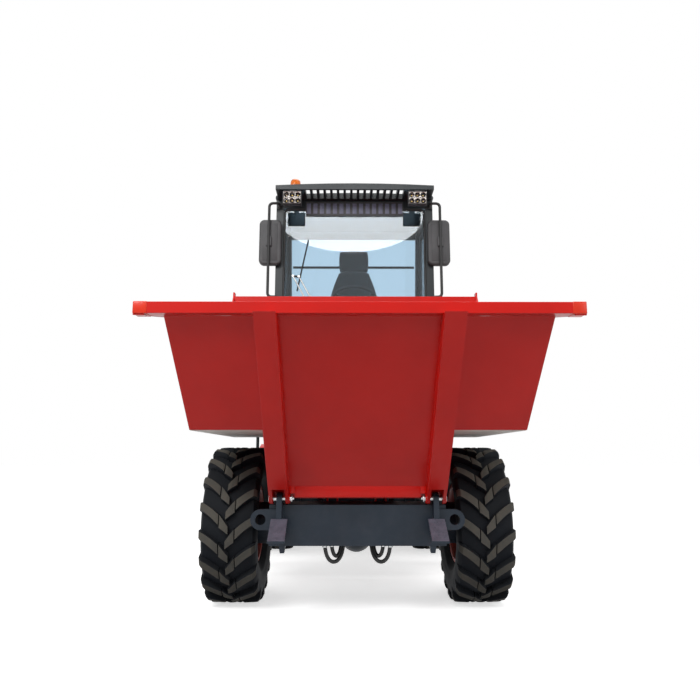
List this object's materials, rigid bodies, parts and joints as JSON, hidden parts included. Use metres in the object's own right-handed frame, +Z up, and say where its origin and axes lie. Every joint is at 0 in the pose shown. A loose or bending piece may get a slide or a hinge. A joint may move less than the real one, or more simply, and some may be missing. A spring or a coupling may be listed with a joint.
{
  "type": "cabbed articulated front-tip site dumper",
  "caption": "Four-wheel site dumper with a front-tipping skip, a frame hinged in its middle, a closed cab and a rear engine hood.",
  "frame": {"origin": "on the ground below the middle of the outline", "axes": "front of the machine looks along -Y, its left side is at +X, +Z is up"},
  "size_m": [2.098, 4.41, 3.1773],
  "materials": {
    "red": "gloss red paint",
    "red_rim": "satin red paint",
    "slate": "satin slate paint",
    "cab_grey": "satin dark grey paint",
    "rubber": "dusty rubber",
    "hose": "matt",
    "plastic": "matt",
    "steel": "bright",
    "engine": "plain",
    "glass": "clear",
    "orange": "clear orange",
    "lamp": "lens and reflector",
    "seat": "woven"
  },
  "bodies": {
    "rear_chassis": {"rear_chassis": "slate", "axle_rear": "slate", "engine_block": "engine", "counterweight": "slate", "rear_wing_left": "red", "rear_wing_right": "red", "side_tank_left": "cab_grey", "side_tank_right": "cab_grey", "bulkhead": "cab_grey", "exhaust": "steel", "cab_tub": "cab_grey", "cab_frame": "cab_grey", "cab_roof": "cab_grey", "roof_visor": "cab_grey", "windscreen": "glass", "rear_window": "glass", "dashboard": "cab_grey", "steering_wheel": "cab_grey", "seat_base": "cab_grey", "seat_cushion": "seat", "seat_back": "seat", "mirror_left": "plastic", "mirror_right": "plastic", "work_lamp_left": "lamp", "work_lamp_right": "lamp", "beacon": "orange", "wiper": "cab_grey"},
    "front_frame": {"front_frame": "slate", "front_crossmember": "slate", "skip_pin_left": "steel", "skip_pin_right": "steel", "axle_front": "slate", "hoses_left": "hose", "hoses_right": "hose"},
    "skip": {"skip_tub": "red", "skip_rim": "red", "skip_headboard": "red", "skip_rib_left": "red", "skip_rib_right": "red"},
    "engine_hood": {"engine_hood": "red", "hood_grille": "cab_grey"},
    "steering_barrel": {"steering_cylinder_barrel": "slate"},
    "steering_rod": {"steering_cylinder_rod": "steel"},
    "door_left": {"door_left": "cab_grey", "door_glass_left": "glass"},
    "tip_barrel_left": {"tip_cylinder_left_barrel": "slate"},
    "tip_rod_left": {"tip_cylinder_left_rod": "steel"},
    "wheel_front_left": {"tyre_front_left": "rubber", "rim_front_left": "red_rim"},
    "wheel_rear_left": {"tyre_rear_left": "rubber", "rim_rear_left": "red_rim"},
    "door_right": {"door_right": "cab_grey", "door_glass_right": "glass"},
    "tip_barrel_right": {"tip_cylinder_right_barrel": "slate"},
    "tip_rod_right": {"tip_cylinder_right_rod": "steel"},
    "wheel_front_right": {"tyre_front_right": "rubber", "rim_front_right": "red_rim"},
    "wheel_rear_right": {"tyre_rear_right": "rubber", "rim_rear_right": "red_rim"}
  },
  "joints": [
    {"name": "articulation", "type": "hinge", "parent": "rear_chassis", "child": "front_frame", "pos_m": [0, 0.145, 0.5], "axis": [0, 0, 1], "range_deg": [-28, 28]},
    {"name": "skip_tip", "type": "hinge", "parent": "front_frame", "child": "skip", "pos_m": [0, -1.375, 0.673], "axis": [1, 0, 0], "range_deg": [0, 72]},
    {"name": "steering_barrel_swing", "type": "hinge", "parent": "rear_chassis", "child": "steering_barrel", "pos_m": [-0.34, 0.605, 0.5], "axis": [0, 0, 1], "range_deg": [-6.6, 6.6]},
    {"name": "steering_rod_slide", "type": "slide", "parent": "steering_barrel", "child": "steering_rod", "axis": [0.0791, -0.9969, 0], "range_m": [-0.147, 0.147]},
    {"name": "hood_open", "type": "hinge", "parent": "rear_chassis", "child": "engine_hood", "pos_m": [0, 0.902, 1.59], "axis": [1, 0, 0], "range_deg": [0, 55]},
    {"name": "tip_barrel_left_swing", "type": "hinge", "parent": "front_frame", "child": "tip_barrel_left", "pos_m": [0.15, -0.215, 0.44], "axis": [1, 0, 0], "range_deg": [-23.1, 0]},
    {"name": "tip_rod_left_slide", "type": "slide", "parent": "tip_barrel_left", "child": "tip_rod_left", "axis": [0, -0.9775, 0.2111], "range_m": [0, 0.3245]},
    {"name": "door_left_swing", "type": "hinge", "parent": "rear_chassis", "child": "door_left", "pos_m": [0.654, 0.769, 1.38], "axis": [0, 0, 1], "range_deg": [0, 85]},
    {"name": "spin_front_left", "type": "hinge", "parent": "front_frame", "child": "wheel_front_left", "pos_m": [0.755, -0.775, 0.4825], "axis": [1, 0, 0], "continuous": true},
    {"name": "spin_rear_left", "type": "hinge", "parent": "rear_chassis", "child": "wheel_rear_left", "pos_m": [0.755, 1.525, 0.4825], "axis": [1, 0, 0], "continuous": true},
    {"name": "tip_barrel_right_swing", "type": "hinge", "parent": "front_frame", "child": "tip_barrel_right", "pos_m": [-0.15, -0.215, 0.44], "axis": [1, 0, 0], "range_deg": [-23.1, 0]},
    {"name": "tip_rod_right_slide", "type": "slide", "parent": "tip_barrel_right", "child": "tip_rod_right", "axis": [0, -0.9775, 0.2111], "range_m": [0, 0.3245]},
    {"name": "door_right_swing", "type": "hinge", "parent": "rear_chassis", "child": "door_right", "pos_m": [-0.654, 0.769, 1.38], "axis": [0, 0, -1], "range_deg": [0, 85]},
    {"name": "spin_front_right", "type": "hinge", "parent": "front_frame", "child": "wheel_front_right", "pos_m": [-0.755, -0.775, 0.4825], "axis": [1, 0, 0], "continuous": true},
    {"name": "spin_rear_right", "type": "hinge", "parent": "rear_chassis", "child": "wheel_rear_right", "pos_m": [-0.755, 1.525, 0.4825], "axis": [1, 0, 0], "continuous": true}
  ],
  "couplings": [
    {"joint": "steering_barrel_swing", "follows": "articulation", "ratio": 0.2325},
    {"joint": "steering_rod_slide", "follows": "articulation", "m_per_rad": 0.3},
    {"joint": "tip_barrel_left_swing", "follows": "skip_tip", "ratio": -0.32},
    {"joint": "tip_rod_left_slide", "follows": "skip_tip", "m_per_rad": 0.2575},
    {"joint": "tip_barrel_right_swing", "follows": "skip_tip", "ratio": -0.32},
    {"joint": "tip_rod_right_slide", "follows": "skip_tip", "m_per_rad": 0.2575}
  ]
}
